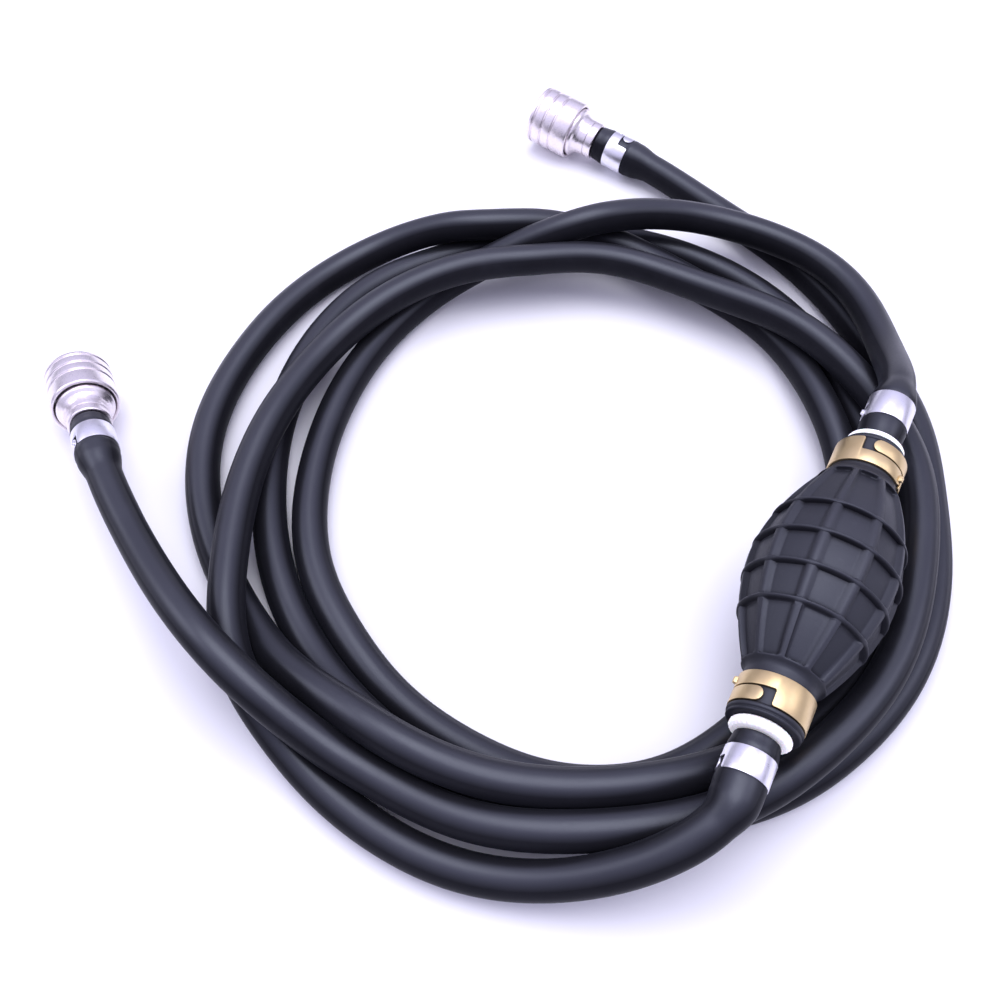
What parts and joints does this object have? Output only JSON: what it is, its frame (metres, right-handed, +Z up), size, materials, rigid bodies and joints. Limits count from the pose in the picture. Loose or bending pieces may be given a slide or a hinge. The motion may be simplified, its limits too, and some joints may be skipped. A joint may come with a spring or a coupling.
{
  "type": "siphon bulb pump",
  "caption": "Hand squeeze-bulb transfer pump: ribbed rubber bulb with check valves, band clamps, coiled hoses and quick-connect couplers.",
  "frame": {"origin": "middle of the bounding box, on the floor", "axes": "+Z up, away from the floor; +Y away from the viewer, +X towards the bulb's side of the coil"},
  "size_m": [0.294, 0.3179, 0.0546],
  "materials": {
    "hose_rubber": "satin",
    "bulb_rubber": "matte",
    "white_nylon": "matte",
    "valve_rubber": "matte",
    "spring_steel": "bright",
    "brass_band": "satin",
    "steel_band": "bright",
    "nickel_plate": "satin nickel plate",
    "seal_rubber": "matte",
    "valve_brass": "machined"
  },
  "bodies": {
    "line": {"tank_hose": "hose_rubber", "engine_hose": "hose_rubber", "inlet_fitting": "white_nylon", "outlet_fitting": "white_nylon", "inlet_valve_cage": "white_nylon", "outlet_valve_seat_ring": "white_nylon", "inlet_valve_spring": "spring_steel", "outlet_valve_spring": "spring_steel", "inlet_bulb_clamp": "brass_band", "outlet_bulb_clamp": "brass_band", "tank_hose_bulb_clamp": "steel_band", "tank_hose_coupler_clamp": "steel_band", "tank_coupler_body": "nickel_plate", "tank_coupler_barb_adapter": "nickel_plate", "tank_coupler_snap_ring": "spring_steel", "tank_coupler_bore_seal": "seal_rubber", "tank_coupler_sleeve_spring": "spring_steel", "tank_coupler_valve_spring": "spring_steel", "engine_hose_bulb_clamp": "steel_band", "engine_hose_coupler_clamp": "steel_band", "engine_coupler_body": "nickel_plate", "engine_coupler_barb_adapter": "nickel_plate", "engine_coupler_snap_ring": "spring_steel", "engine_coupler_bore_seal": "seal_rubber", "engine_coupler_sleeve_spring": "spring_steel", "engine_coupler_valve_spring": "spring_steel"},
    "bulb": {"bulb_shell": "bulb_rubber"},
    "inlet_valve": {"inlet_valve_disc": "valve_rubber"},
    "outlet_valve": {"outlet_valve_disc": "valve_rubber"},
    "tank_sleeve": {"tank_coupler_sleeve": "nickel_plate"},
    "tank_poppet": {"tank_coupler_valve_poppet": "valve_brass", "tank_coupler_poppet_seal": "seal_rubber"},
    "tank_ball_1": {"tank_coupler_ball_1": "spring_steel"},
    "tank_ball_2": {"tank_coupler_ball_2": "spring_steel"},
    "tank_ball_3": {"tank_coupler_ball_3": "spring_steel"},
    "tank_ball_4": {"tank_coupler_ball_4": "spring_steel"},
    "tank_ball_5": {"tank_coupler_ball_5": "spring_steel"},
    "tank_ball_6": {"tank_coupler_ball_6": "spring_steel"},
    "engine_sleeve": {"engine_coupler_sleeve": "nickel_plate"},
    "engine_poppet": {"engine_coupler_valve_poppet": "valve_brass", "engine_coupler_poppet_seal": "seal_rubber"},
    "engine_ball_1": {"engine_coupler_ball_1": "spring_steel"},
    "engine_ball_2": {"engine_coupler_ball_2": "spring_steel"},
    "engine_ball_3": {"engine_coupler_ball_3": "spring_steel"},
    "engine_ball_4": {"engine_coupler_ball_4": "spring_steel"},
    "engine_ball_5": {"engine_coupler_ball_5": "spring_steel"},
    "engine_ball_6": {"engine_coupler_ball_6": "spring_steel"}
  },
  "joints": [
    {"name": "bulb_squeeze", "type": "slide", "parent": "line", "child": "bulb", "axis": [0, 0, -1], "range_m": [0, 0.01], "stiffness_N_per_m": 1500, "springref_m": -0.0005, "deforming": ["bulb_shell"]},
    {"name": "inlet_valve_lift", "type": "slide", "parent": "line", "child": "inlet_valve", "axis": [0.4487, 0.8921, 0.0523], "range_m": [0, 0.002], "stiffness_N_per_m": 40, "springref_m": -0.002, "deforming": ["inlet_valve_spring"]},
    {"name": "outlet_valve_lift", "type": "slide", "parent": "line", "child": "outlet_valve", "axis": [0.4487, 0.8921, 0.0523], "range_m": [0, 0.002], "stiffness_N_per_m": 40, "springref_m": -0.002, "deforming": ["outlet_valve_spring"]},
    {"name": "tank_sleeve_slide", "type": "slide", "parent": "line", "child": "tank_sleeve", "axis": [0.3875, -0.904, 0.1805], "range_m": [0, 0.004], "stiffness_N_per_m": 400, "springref_m": -0.003, "deforming": ["tank_coupler_sleeve_spring"]},
    {"name": "tank_poppet_slide", "type": "slide", "parent": "line", "child": "tank_poppet", "axis": [0.3875, -0.904, 0.1805], "range_m": [0, 0.0025], "stiffness_N_per_m": 150, "springref_m": -0.002, "deforming": ["tank_coupler_valve_spring"]},
    {"name": "tank_ball_1_release", "type": "slide", "parent": "line", "child": "tank_ball_1", "axis": [0.398, 0.3407, 0.8518], "range_m": [0, 0.0007]},
    {"name": "tank_ball_2_release", "type": "slide", "parent": "line", "child": "tank_ball_2", "axis": [0.9191, 0.3939, 0], "range_m": [0, 0.0007]},
    {"name": "tank_ball_3_release", "type": "slide", "parent": "line", "child": "tank_ball_3", "axis": [0.5212, 0.0533, -0.8518], "range_m": [0, 0.0007]},
    {"name": "tank_ball_4_release", "type": "slide", "parent": "line", "child": "tank_ball_4", "axis": [-0.398, -0.3407, -0.8518], "range_m": [0, 0.0007]},
    {"name": "tank_ball_5_release", "type": "slide", "parent": "line", "child": "tank_ball_5", "axis": [-0.9191, -0.3939, 0], "range_m": [0, 0.0007]},
    {"name": "tank_ball_6_release", "type": "slide", "parent": "line", "child": "tank_ball_6", "axis": [-0.5212, -0.0533, 0.8518], "range_m": [0, 0.0007]},
    {"name": "engine_sleeve_slide", "type": "slide", "parent": "line", "child": "engine_sleeve", "axis": [0.8457, -0.5223, -0.1097], "range_m": [0, 0.004], "stiffness_N_per_m": 400, "springref_m": -0.003, "deforming": ["engine_coupler_sleeve_spring"]},
    {"name": "engine_poppet_slide", "type": "slide", "parent": "line", "child": "engine_poppet", "axis": [0.8457, -0.5223, -0.1097], "range_m": [0, 0.0025], "stiffness_N_per_m": 150, "springref_m": -0.002, "deforming": ["engine_coupler_valve_spring"]},
    {"name": "engine_ball_1_release", "type": "slide", "parent": "line", "child": "engine_ball_1", "axis": [0.3436, 0.3755, 0.8608], "range_m": [0, 0.0007]},
    {"name": "engine_ball_2_release", "type": "slide", "parent": "line", "child": "engine_ball_2", "axis": [0.5255, 0.8508, 0], "range_m": [0, 0.0007]},
    {"name": "engine_ball_3_release", "type": "slide", "parent": "line", "child": "engine_ball_3", "axis": [0.1819, 0.4753, -0.8608], "range_m": [0, 0.0007]},
    {"name": "engine_ball_4_release", "type": "slide", "parent": "line", "child": "engine_ball_4", "axis": [-0.3436, -0.3755, -0.8608], "range_m": [0, 0.0007]},
    {"name": "engine_ball_5_release", "type": "slide", "parent": "line", "child": "engine_ball_5", "axis": [-0.5255, -0.8508, 0], "range_m": [0, 0.0007]},
    {"name": "engine_ball_6_release", "type": "slide", "parent": "line", "child": "engine_ball_6", "axis": [-0.1819, -0.4753, 0.8608], "range_m": [0, 0.0007]}
  ],
  "couplings": [
    {"joint": "tank_ball_1_release", "follows": "tank_sleeve_slide", "ratio": 0.175},
    {"joint": "tank_ball_2_release", "follows": "tank_sleeve_slide", "ratio": 0.175},
    {"joint": "tank_ball_3_release", "follows": "tank_sleeve_slide", "ratio": 0.175},
    {"joint": "tank_ball_4_release", "follows": "tank_sleeve_slide", "ratio": 0.175},
    {"joint": "tank_ball_5_release", "follows": "tank_sleeve_slide", "ratio": 0.175},
    {"joint": "tank_ball_6_release", "follows": "tank_sleeve_slide", "ratio": 0.175},
    {"joint": "engine_ball_1_release", "follows": "engine_sleeve_slide", "ratio": 0.175},
    {"joint": "engine_ball_2_release", "follows": "engine_sleeve_slide", "ratio": 0.175},
    {"joint": "engine_ball_3_release", "follows": "engine_sleeve_slide", "ratio": 0.175},
    {"joint": "engine_ball_4_release", "follows": "engine_sleeve_slide", "ratio": 0.175},
    {"joint": "engine_ball_5_release", "follows": "engine_sleeve_slide", "ratio": 0.175},
    {"joint": "engine_ball_6_release", "follows": "engine_sleeve_slide", "ratio": 0.175}
  ]
}
